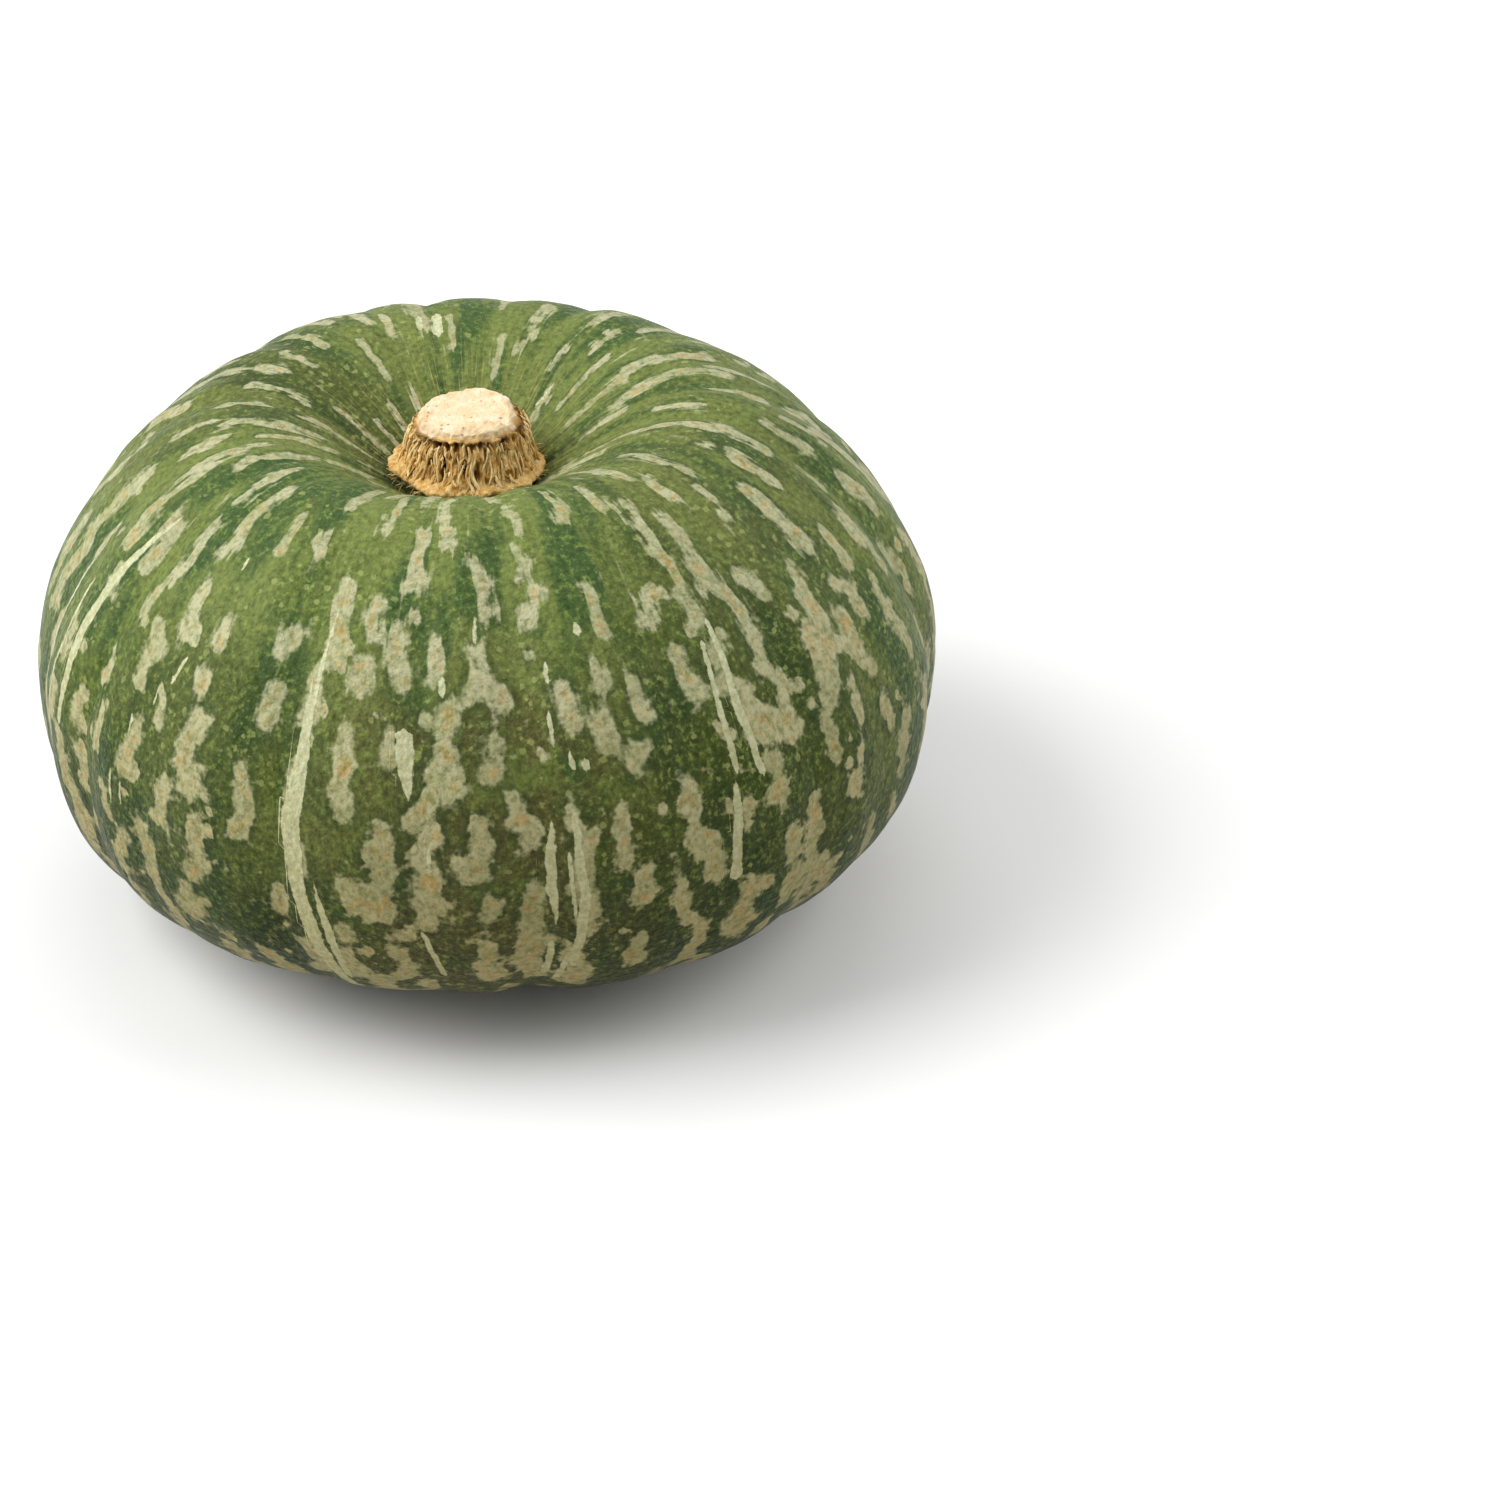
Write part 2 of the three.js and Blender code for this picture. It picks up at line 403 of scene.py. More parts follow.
# The pale blotches as one smooth field, above about 0.5 inside them. Places are thrown at random and
# kept where (across/gapAcross)^2 + (down/gapAlong)^2 to every other is above 1. They are thinner
# towards the stem.
def blotchField(turn, radius, walked):
    rng = np.random.default_rng(blotches["seed"])
    length = walked[-1, 0]
    field = np.zeros((walked.shape[0], turn.shape[1]))
    placed = [(start + share * (end - start), angle / 360 % 1)
              for angle, start, end, width in blotches["front"] for share in (0.25, 0.75)]
    kept = np.array(placed)

    def sizeAt(name, down):
        return np.interp(down / length, blotches["along"], blotches[name])

    downs = rng.uniform(blotches["thrownFrom"], blotches["thrownTo"], blotches["throws"]) * length
    for down, spin in zip(downs, rng.uniform(0, 1, blotches["throws"])):
        girth = 2 * np.pi * max(np.interp(down, walked[:, 0], radius[:, 0]), 4)
        if rng.uniform() > girth / blotches["fullGirth"]:
            continue
        apart = np.mod(kept[:, 1] - spin + 0.5, 1) - 0.5
        gap = (apart * girth / sizeAt("gapAcross", down)) ** 2
        gap += ((kept[:, 0] - down) / sizeAt("gapAlong", down)) ** 2
        if gap.min() > 1:
            kept = np.vstack([kept, [down, spin]])
    for down, spin in kept[len(placed):]:
        size = rng.uniform(*blotches["size"])
        halfLength = sizeAt("halfLength", down) * size * rng.uniform(0.8, 1.15)
        addBlotch(field, turn, radius, walked, spin, down - halfLength, down + halfLength,
                  sizeAt("halfWidth", down) * (0.45 + 0.55 * size),
                  rng.normal(0, blotches["lean"]), rng)
    for angle, start, end, halfWidth in blotches["front"]:
        addBlotch(field, turn, radius, walked, angle / 360, start, end, halfWidth, 0, rng)
    for spot in range(blotches["spots"]):
        down = rng.uniform(blotches["spotsFrom"], blotches["spotsTo"]) * length
        halfWidth = rng.uniform(*blotches["spotHalfWidth"])
        addBlotch(field, turn, radius, walked, rng.uniform(0, 1), down - halfWidth, down + halfWidth,
                  halfWidth, 0, rng)
    return np.minimum(field, 2)


# Scars where the skin was rubbed or split as it grew: pale lines that run nearly down a meridian.
# Each is a path of angle from the front in degrees, distance down the skin from the stem end and
# half width in millimetres. Neighbours stand one after another in the list.
scars = [
    # the long one beside the front: its thin start, its broad run and its fork
    [(-19.2, 82, 0.3), (-20, 92, 0.5), (-20.5, 114, 0.8)],
    [(-21.3, 97, 0.3), (-20.8, 113, 1.7), (-21.8, 126, 2.4), (-21.4, 142, 2.1), (-19.2, 163, 2.0),
     (-17, 182, 1.2)],
    [(-18.7, 141, 0.3), (-17.5, 153, 1.2), (-16.4, 173, 0.9)],
    # the left flank
    [(-61.5, 76, 0.4), (-65, 95, 1.3), (-66.2, 113, 1.6), (-66.5, 133, 0.9)],
    [(-70, 100, 0.6), (-72, 145, 0.8)],
    [(-75, 98, 0.7), (-76.5, 145, 1.0)],
    [(-42, 100, 0.6), (-43.5, 107, 0.6)],
    [(-45.5, 109, 0.35), (-45.5, 113, 0.35)],
    [(-49, 117, 0.45), (-49, 122, 0.45)],
    [(-51.5, 131, 0.45), (-51.5, 140, 0.4)],
    [(-49.5, 133, 0.45), (-49.5, 139, 0.4)],
    [(-39.5, 76, 0.45), (-39.5, 79, 0.45)],
    # chips and ticks in front
    [(-7.3, 106, 1.9), (-7, 112, 2.0), (-6.4, 120, 0.9)],
    [(-2, 95, 0.8), (-2, 99, 0.8)],
    [(2.9, 82, 0.4), (2.9, 88, 0.45)],
    [(12.9, 93, 0.5), (12.9, 98, 0.5)],
    [(12.2, 103, 0.5), (12.2, 110.5, 0.55)],
    [(14.2, 113, 0.8), (14.5, 116, 0.8)],
    [(16, 114, 0.9), (16, 116.4, 0.9)],
    [(18.5, 86, 1.0), (18.5, 88.6, 1.0)],
    # the belly
    [(-4.2, 131, 0.6), (-4.2, 137.5, 0.7)],
    [(-5.6, 153, 0.6), (-3.3, 169, 0.9)],
    [(10.8, 127, 0.6), (10.6, 134, 1.3), (10.4, 143, 1.2), (11, 152, 0.35)],
    [(12.7, 134, 0.5), (13.2, 151, 0.5)],
    [(13.5, 125, 0.8), (14.4, 145, 1.2), (13.3, 167, 1.2)],
    [(10.7, 158, 0.9), (9.5, 172, 0.8)],
    [(12.6, 162, 0.9), (11.2, 174, 0.9)],
    # the ragged pair on the right
    [(39, 92, 0.5), (38.2, 111, 1.2), (39, 127, 1.0)],
    [(36.7, 96, 0.6), (35.7, 110, 0.8), (35.4, 124, 0.9)],
    [(35, 126, 0.8), (34.5, 150, 1.6)],
    # behind the stem
    [(145, 27, 0.5), (143, 34, 0.5)],
    [(-168, 45, 1.4), (-169, 54, 1.2)],
    [(-163, 47, 0.9), (-164, 53, 0.9)],
]
scarLayers = 3
scarReach = 3.2  # distance across within which a scar is drawn
noScar = -3  # half width where there is none
scarFar = 9  # distance at which every layer of scars stops counting
scarWander = 0.2  # degrees that a scar strays from its path


# Every third scar, from the one given: the signed distance across to the nearest one's middle line,
# (angle - line) in radians times the radius, and its half width there, which eases to 0 at both
# ends. Away from them the half width is negative, so that no line shows where the nearest changes.
def scarFields(turn, radius, walked, first):
    best = np.full((walked.shape[0], turn.shape[1]), 1e3)
    across, half = best.copy(), np.full_like(best, noScar)
    for number in range(first, len(scars), scarLayers):
        angles, downs, widths = np.array(scars[number]).T
        line = np.interp(walked, downs, angles)
        line = line + scarWander * bumps(0.5 + 0 * walked, walked / walked[-1], 4, 40, 300 + number)
        side = np.radians(folded(360 * turn - line)) * radius
        past = np.maximum(downs[0] - walked, walked - downs[-1])
        width = np.interp(walked, downs, widths) * rise(past, 0.4, -0.8) + noScar * (past > 1)
        closer = np.abs(side) < scarReach
        closer &= np.abs(side) - width < best
        best = np.where(closer, np.abs(side) - width, best)
        across = np.where(closer, side, across)
        half = np.where(closer, width + 0 * side, half)
    return np.clip(across, -scarFar, scarFar), half


rind = {
    # greens
    "flankGreen": tint(61, 84, 20),
    "crownGreen": tint(108, 120, 62),
    # the belly's deeper green, partly the rind's own tone and partly painted shade
    "bellyGreenAndShade": tint(50, 60, 8),
    "blueGreen": tint(52, 80, 42),
    "dust": tint(87, 83, 48),
    # painted shade low in front, and the rind's own darker patches elsewhere
    "deepGreenAndShade": tint(30, 46, 6),
    "fleck": tint(122, 138, 66),
    "grain": tint(34, 42, 10),
    "dot": tint(146, 154, 92),
    "halo": tint(50, 70, 36),
    # blotches
    "bellyPale": tint(182, 178, 132),
    "crownPale": tint(177, 177, 142),
    "greenPale": tint(146, 152, 108),
    "ochre": tint(184, 146, 78),
    "mottle": tint(128, 134, 80),
    "paleGrain": tint(102, 106, 60),
    "paleFleck": tint(190, 186, 146),
    # scars, lines round the stem and the blossom end
    "scarDull": tint(172, 174, 132),
    "scarBright": tint(196, 198, 162),
    "line": tint(176, 164, 104),
    "blossomDark": tint(120, 96, 58),
    "blossomPale": tint(190, 164, 112),
    # painted shade over the lower half of the rind, multiplied into every colour there
    "paintedShade": (0.66, 0.6, 0.5, 1),  # the colour is multiplied by this on the belly
    # finish
    "waxy": 0.46,
    "corky": 0.8,
    "specular": 0.08,
    "sheen": 0.03,
    "sheenRoughness": 0.4,
    # heights of the relief, in metres
    "pebbles": 0.0008,
    "waves": 0.0003,
    "grit": 0.0003,
    "scarRise": 0.00012,
    "blossomGrit": 0.0012,
}


# The noises that several of the rind's layers share.
def rindNoises(tree):
    position = addNode(tree, "TexCoord", {}).outputs["Object"]
    grainPlace = layer(tree, "grainPlace", "Vector")
    drawnOut = clouds(tree, moved(tree, grainPlace, (0.2, 0, 0)), 1100, 3, 0.6)
    fine = clouds(tree, position, 760, 4, 0.65)
    return {
        "position": position,
        "grainPlace": grainPlace,
        "broad": clouds(tree, moved(tree, position, (0.3, 0, 0)), 26, 3),
        "patchy": clouds(tree, moved(tree, position, (0, 0.7, 0)), 85, 4, 0.6),
        "streaks": clouds(tree, grainPlace, 230, 4, 0.6),
        "fine": fine,
        "speckle": addNode(tree, "Mix", {0: 0.2, 2: fine, 3: drawnOut}, data_type="FLOAT").outputs[0],
    }


# Greens: yellow-green on the crown, deeper on the belly, partly as painted shade, with streaks,
# blue-green clouds, a dusty patch and dark parts, some of them painted shade low in front.
def rindGreens(tree, noise):
    tone = calc(tree, "ADD", layer(tree, "crown"), swing(tree, noise["broad"], 1.6))
    tone = calc(tree, "ADD", tone, swing(tree, noise["streaks"], 1.2))
    green = blend(tree, ease(tree, tone, 0.0, 1.0), rind["flankGreen"], rind["crownGreen"])
    # the belly's deeper green, partly painted shade
    green = blend(tree, product(tree, layer(tree, "belly"), 0.85), green, rind["bellyGreenAndShade"])
    place = moved(tree, noise["grainPlace"], (0.6, 0.1, 0.3), (0.5, 0.5, 0.8))
    cloudy = ease(tree, clouds(tree, place, 120, 3, 0.6), 0.45, 0.61)
    green = blend(tree, product(tree, cloudy, 0.8), green, rind["blueGreen"])
    dusty = product(tree, layer(tree, "bloom"), ease(tree, noise["patchy"], 0.3, 0.55), 0.9)
    green = blend(tree, dusty, green, rind["dust"])
    # dark parts: painted shade low in front, and the rind's own darker patches round the fruit
    return blend(tree, product(tree, layer(tree, "deepAndShade"), 0.65), green, rind["deepGreenAndShade"])


# Light flecks and dark grain, a millimetre or less across, as two weights. The flecks are fewer on
# the belly, which darkens it there, partly as painted shade.
def rindSpeckles(tree, noise):
    light = calc(tree, "SUBTRACT", 0.72, product(tree, layer(tree, "belly"), 0.3))
    flecks = product(tree, ease(tree, noise["speckle"], 0.5, 0.66), light)
    return flecks, ease(tree, noise["speckle"], 0.54, 0.32)


# Small pale dots, thick in places: a dot is where the distance to its cell's point is less than an
# edge that varies from cell to cell.
def rindDots(tree, noise):
    away, number = cells(tree, noise["position"], 420)
    edge = calc(tree, "ADD", product(tree, number, 0.36), swing(tree, noise["patchy"], 0.5))
    edge = calc(tree, "ADD", edge, swing(tree, noise["fine"], 0.7))
    dots = ease(tree, calc(tree, "SUBTRACT", edge, away), -0.05, 0.08)
    crowded = clouds(tree, moved(tree, noise["position"], (0, 0, 1.1)), 40)
    return product(tree, dots, ease(tree, crowded, 0.42, 0.58), 0.6)


# The edge of the blotches: their field with lobes added, which are drawn out down the skin on the
# crown and rounder below.
def blotchEdge(tree, noise, blotch, crown):
    rounder = clouds(tree, moved(tree, noise["position"], (0.1, 0.3, 0)), 270, 2, 0.55)
    longer = clouds(tree, moved(tree, noise["grainPlace"], (0.5, 0.1, 0)), 330, 2, 0.55)
    sockets = {0: ease(tree, crown, 0.5, 1.0), 2: rounder, 3: longer}
    lobes = addNode(tree, "Mix", sockets, data_type="FLOAT").outputs[0]
    lobed = calc(tree, "ADD", swing(tree, lobes, 2.3), swing(tree, noise["fine"], 0.35))
    return calc(tree, "ADD", blotch, lobed)


# The pale inside of the blotches, with greener parts, ochre stains, mottling and speckles.
def blotchPale(tree, noise, crown, edge, flecks, grain):
    position = noise["position"]
    pale = blend(tree, crown, rind["bellyPale"], rind["crownPale"])
    greener = ease(tree, clouds(tree, moved(tree, position, (0.9, 0, 0.2)), 55, 2), 0.42, 0.68)
    pale = blend(tree, product(tree, greener, 0.5), pale, rind["greenPale"])
    stain = clouds(tree, moved(tree, position, (0.2, 0.5, 0)), 300, 4, 0.65)
    stained = product(tree, ease(tree, edge, 0.7, 1.3), ease(tree, stain, 0.44, 0.66), 0.75)
    pale = blend(tree, stained, pale, rind["ochre"])
    mottle = clouds(tree, moved(tree, position, (0.7, 0.2, 0)), 520, 2, 0.6)
    pale = blend(tree, product(tree, ease(tree, mottle, 0.54, 0.38), 0.5), pale, rind["mottle"])
    pale = blend(tree, product(tree, grain, 0.6), pale, rind["paleGrain"])
    return blend(tree, product(tree, flecks, 0.5), pale, rind["paleFleck"])


# How surely a point lies in a scar: its half width less the distance across, with a ragged edge,
# and the most of that over the layers of scars.
def scarWeight(tree, noise):
    ragged = calc(tree, "ADD", swing(tree, clouds(tree, noise["grainPlace"], 900, 3, 0.6), 1.3),
                  swing(tree, noise["fine"], 0.7))
    ragged = calc(tree, "SUBTRACT", ragged, 0.1)
    inside = calc(tree, "SUBTRACT", ragged, scarFar)
    for number in range(scarLayers):
        side = calc(tree, "ABSOLUTE", layer(tree, f"scarAcross{number}"))
        depth = calc(tree, "SUBTRACT", layer(tree, f"scarHalf{number}"), side)
        inside = calc(tree, "MAXIMUM", inside, calc(tree, "ADD", depth, ragged))
    return ease(tree, inside, -0.16, 0.14)


# A pebbled skin, with finer grain over it, slightly proud scars and a gritty blossom end.
def rindRelief(tree, noise, onScar, onBlossom):
    pebbles = clouds(tree, noise["position"], 480, 2, 0.5)
    waves = clouds(tree, noise["grainPlace"], 160, 3, 0.5)
    raised = product(tree, pebbles, rind["pebbles"])
    raised = calc(tree, "ADD", raised, product(tree, waves, rind["waves"]))
    raised = calc(tree, "ADD", raised, product(tree, noise["fine"], rind["grit"]))
    raised = calc(tree, "ADD", raised, product(tree, onScar, rind["scarRise"]))
    gritty = product(tree, onBlossom, noise["fine"], rind["blossomGrit"])
    raised = calc(tree, "ADD", raised, gritty)
    return addNode(tree, "Bump", {"Height": raised, "Distance": 1.0, "Strength": 1.0}).outputs[0]


def rindMaterial():
    material, tree, surface = newMaterial("rind")
    noise = rindNoises(tree)
    blotch = layer(tree, "blotch")
    crown = layer(tree, "crown")
    flecks, grain = rindSpeckles(tree, noise)

    green = blend(tree, flecks, rindGreens(tree, noise), rind["fleck"])
    grainy = calc(tree, "SUBTRACT", 0.85, product(tree, crown, 0.4))
    green = blend(tree, product(tree, grain, grainy), green, rind["grain"])
    green = blend(tree, rindDots(tree, noise), green, rind["dot"])
    # a darker blue-green edge round some blotches
    halo = product(tree, ease(tree, blotch, 0.08, 0.34), ease(tree, noise["broad"], 0.45, 0.6), 0.5)
    green = blend(tree, halo, green, rind["halo"])

    edge = blotchEdge(tree, noise, blotch, crown)
    pale = blotchPale(tree, noise, crown, edge, flecks, grain)
    color = blend(tree, product(tree, ease(tree, edge, 0.33, 0.77), 0.93), green, pale)

    # thin corky lines round the stem
    place = moved(tree, noise["grainPlace"], (0.4, 0.2, 0), (1, 1, 0.25))
    lines = product(tree, layer(tree, "nearStem"), ease(tree, clouds(tree, place, 900, 2), 0.58, 0.7))
    color = blend(tree, product(tree, lines, 0.65), color, rind["line"])

    onScar = scarWeight(tree, noise)
    bright = ease(tree, noise["speckle"], 0.4, 0.62)
    color = blend(tree, onScar, color, blend(tree, bright, rind["scarDull"], rind["scarBright"]))
    # painted shade: the lower half of the rind darkened by multiplying its colour
    color = blend(tree, layer(tree, "paintedShade"), color, rind["paintedShade"], "MULTIPLY")

    # the blossom scar under the fruit
    blossom = calc(tree, "ADD", layer(tree, "blossomEnd"), swing(tree, noise["patchy"], 0.5))
    onBlossom = ease(tree, blossom, 0.45, 0.6)
    corky = blend(tree, noise["fine"], rind["blossomDark"], rind["blossomPale"])
    color = blend(tree, onBlossom, color, corky)
    tree.links.new(color, surface.inputs["Base Color"])

    dull = calc(tree, "MAXIMUM", onScar, onBlossom)
    worn = calc(tree, "ADD", rind["waxy"], product(tree, dull, rind["corky"] - rind["waxy"]))
    worn = calc(tree, "ADD", worn, swing(tree, noise["patchy"], 0.25))
    tree.links.new(worn, surface.inputs["Roughness"])
    surface.inputs["Specular IOR Level"].default_value = rind["specular"]
    surface.inputs["Sheen Weight"].default_value = rind["sheen"]
    surface.inputs["Sheen Roughness"].default_value = rind["sheenRoughness"]
    tree.links.new(rindRelief(tree, noise, onScar, onBlossom), surface.inputs["Normal"])
    return material


# The rind's layers that depend on the place: weights of 0 to 1 that its colours read.
def paintFruit(piece, turn, along, radius, walked):
    full = np.ones((fruit["rows"], fruit["columns"]))
    angle = 2 * np.pi * turn
    degrees = 360 * turn
    drum = fruit["grainRound"]
    grain = [drum * np.cos(angle) * full, drum * np.sin(angle) * full,
             fruit["grainStretch"] * walked * full]
    paint(piece, "grainPlace", np.stack(grain, axis=2) * mm)
    paint(piece, "blotch", blotchField(turn, radius, walked))
    for number in range(scarLayers):
        across, half = scarFields(turn, radius, walked, number)
        paint(piece, f"scarAcross{number}", across)
        paint(piece, f"scarHalf{number}", half)
    # from the crown down: the crown's light green, painted shade over the lower half that eases a little
    # towards the bottom, and the belly's deeper green, which is partly painted shade
    paint(piece, "crown", rise(along, 0.78, 0.2) * full)
    paint(piece, "paintedShade", rise(along, 0.32, 0.62) * (1 - 0.3 * rise(along, 0.62, 0.84)) * full)
    paint(piece, "belly", rise(along, 0.44, 0.8) * full)
    # a dusty patch in front and fainter ones round the fruit
    bloom = bell(degrees, 4, 24) * rise(along, 0.28, 0.42) * rise(along, 0.9, 0.7)
    paint(piece, "bloom", np.maximum(bloom, 0.4 * rise(bumps(turn, along, 7, 4, 21), 0.1, 0.8)))
    # two dark parts low in front, painted shade, and darker patches of the rind's own round the fruit
    deepAndShade = bell(degrees, 30, 20) * rise(along, 0.46, 0.66)
    deepAndShade = np.maximum(deepAndShade, bell(degrees, -26, 7) * rise(along, 0.5, 0.58))
    around = 0.7 * rise(bumps(turn, along, 9, 5, 22), 0.15, 0.7)
    paint(piece, "deepAndShade", np.maximum(deepAndShade, around) * full)
    paint(piece, "nearStem", rise(radius, 46, 20) * rise(along, 0.5, 0.3) * full)
    paint(piece, "blossomEnd", rise(along, 0.9, 1.0) * full)


def makeFruit():
    points, turn, along, radius, walked = fruitPoints()
    piece = turnedMesh("rind", points)
    paintFruit(piece, turn, along, radius, walked)
    piece.data.materials.append(rindMaterial())
    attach(piece, "root")
    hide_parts("fruit")
    print("rind made")


makeFruit()


# Stem

stem = {
    "columns": 440,
    "rows": 200,
    # radius and height above the seat: foot, collar, side, shoulder of bark, cut face
    "radii": [0, 9.2, 13.4, 15.7, 16.5, 16.3, 15.4, 14.6, 13.9, 13.3, 12.8, 12.5, 12.1, 11.3, 10.8,
              10.4, 9.6, 6, 0],
    "heights": [0.35, 0.35, 2.4, 3.9, 4.7, 5.4, 6.2, 7.9, 9.9, 12.0, 13.6, 14.8, 15.7, 16.0, 16.3,
                17.4, 17.9, 18.1, 18.2],
    "rounding": 0.35,
    "strandDepth": 1.9,
    "hairDepth": 0.22,
    "pits": 90,
    "pitSeed": 34,
    "pitDepth": 1.8,
    "pitsHigh": 14.6,  # the height of the highest pits, and how far below it they reach
    "pitsSpan": 8,
    "girth": 88,  # round the side, for the width of the pits
    "collarRagged": 0.8,
    "collarWave": 0.55,
    "cutRagged": 0.9,
    "cutTorn": 0.35,
    "cutGrit": 0.14,
    "chip": {"depth": 0.9, "angle": -38, "spread": 22},  # out of the cut edge
    "lean": 0.06,  # sideways for each millimetre up
}


# How far the stem's skin stands off its outline. Down the side, strands and threads are ridges
# 1 - |bump| where a lattice bump crosses zero, raised to a power to sharpen them, and bell-shaped
# pits cut deeper. The collar and the cut edge are ragged with bumps that run round the girth.
def stemRelief(turn, along, level):
    side = rise(level, 5.2, 7.0) * rise(level, 16.6, 14.8)
    drift = 0.02 * bumps(turn, along, 9, 4, 31) + 0.006 * bumps(turn, along, 40, 12, 41)
    strands = 1 - np.abs(bumps(turn + drift, along, 34, 9, 32))
    threads = 1 - np.abs(bumps(turn + drift, along, 84, 16, 33))
    hairs = bumps(turn + drift, along, 210, 22, 42)
    relief = side * stem["strandDepth"] * (0.5 * strands ** 2 + 0.4 * threads ** 1.5 - 0.62)
    relief += stem["hairDepth"] * side * hairs
    rng = np.random.default_rng(stem["pitSeed"])
    for spin, lift in zip(rng.uniform(0, 1, stem["pits"]), rng.uniform(0, 1, stem["pits"])):
        across = (np.mod(turn - spin + 0.5, 1) - 0.5) * stem["girth"] / rng.uniform(0.4, 1.0)
        down = (level - stem["pitsHigh"] + stem["pitsSpan"] * lift * lift) / rng.uniform(0.6, 1.6)
        relief -= side * stem["pitDepth"] * np.exp(-across ** 2 - down ** 2) * rng.uniform(0.4, 1)
    lip = rise(level, 2.8, 4.4) * rise(level, 6.6, 5.2)
    ragged = bumps(turn, 0 * along, 13, 1, 35) + 0.7 * bumps(turn, 0 * along, 47, 1, 36)
    ragged = ragged + 0.3 * bumps(turn, along, 150, 60, 43)
    relief += lip * stem["collarRagged"] * ragged
    edge = rise(level, 13.6, 15.8)
    chipped = 1.3 * bumps(turn, 0 * along, 7, 1, 37) + 0.55 * bumps(turn, 0 * along, 26, 1, 38)
    chipped = chipped + 0.25 * bumps(turn, along, 90, 40, 44)
    return relief + edge * stem["cutRagged"] * chipped, side


# The stem's points: its outline swung round the axis, moved outwards by the relief, with a wave in
# the collar. The cut face is a little hollow and torn, and a chip is out of it at one side.
def stemPoints():
    radius, level, walked = evenOutline(np.array(stem["radii"]), np.array(stem["heights"]),
                                        stem["rows"], stem["rounding"])
    turn = np.arange(stem["columns"])[None, :] / stem["columns"]
    along = (walked / walked[-1])[:, None]
    radius, level = radius[:, None], level[:, None]
    relief, side = stemRelief(turn, along, level)
    angle = 2 * np.pi * turn
    onFace = rise(radius, 0, 9)
    outward = np.maximum(radius + relief * onFace, 0)
    outward[[0, -1]] = 0
    wave = stem["collarWave"] * bumps(turn, 0 * along, 11, 1, 39)
    wave = wave * rise(level, 2.8, 4.4) * rise(level, 8, 5.2)
    torn = stem["cutTorn"] * bumps(turn, along, 12, 30, 45)
    torn = torn + stem["cutGrit"] * bumps(turn, along, 60, 90, 40)
    chip = -stem["chip"]["depth"] * bell(360 * turn, stem["chip"]["angle"], stem["chip"]["spread"])
    top = rise(level, 15.0, 17.2)
    height = level + wave + top * (torn * onFace + chip * rise(radius, 7, 11.5))
    height[[0, -1]] = height[[0, -1]].mean(axis=1, keepdims=True)
    lean = stem["lean"] * level
    points = np.stack([outward * np.sin(angle) + lean, -outward * np.cos(angle), height], axis=2)
    low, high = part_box("stem")
    points[..., 0] += (low[0] + high[0]) / 2 / mm
    points[..., 1] += (low[1] + high[1]) / 2 / mm
    points[..., 2] += low[2] / mm - stem["heights"][0]
    full = np.ones_like(relief)
    return points[::-1] * mm, relief[::-1], (side * full)[::-1], (level * full)[::-1]


cork = {
    "side": tint(186, 136, 62),
    "sideStreak": tint(226, 190, 124),
    "sidePatch": tint(228, 200, 142),
    # painted shade in the pits and crevices of the stem's side, nearly black in the deepest
    "hollow": tint(134, 92, 34),
    "deepestShade": tint(62, 38, 12),
    "tornBand": tint(96, 62, 26),
    "face": tint(226, 200, 158),
    "facePatch": tint(238, 218, 188),
    "stain": tint(196, 150, 98),
    "speck": tint(150, 98, 52),
    "faceGrain": tint(206, 166, 106),
    "roughness": 0.85,
    "specular": 0.25,
    "ridges": 0.0009,  # heights of the relief, in metres
    "grit": 0.0003,
}


# The cut face: pale, with brown specks and a stained middle.
def cutFace(tree, position, patchy, fine):
    face = blend(tree, ease(tree, patchy, 0.4, 0.7), cork["face"], cork["facePatch"])
    stained = ease(tree, clouds(tree, moved(tree, position, (0.3, 0.3, 0)), 190, 2), 0.58, 0.7)
    face = blend(tree, product(tree, stained, 0.45), face, cork["stain"])
    away, number = cells(tree, position, 620)
    specks = product(tree, ease(tree, away, 0.3, 0.12), ease(tree, number, 0.72, 0.8))
    face = blend(tree, product(tree, specks, 0.7), face, cork["speck"])
    return blend(tree, product(tree, ease(tree, fine, 0.6, 0.75), 0.35), face, cork["faceGrain"])


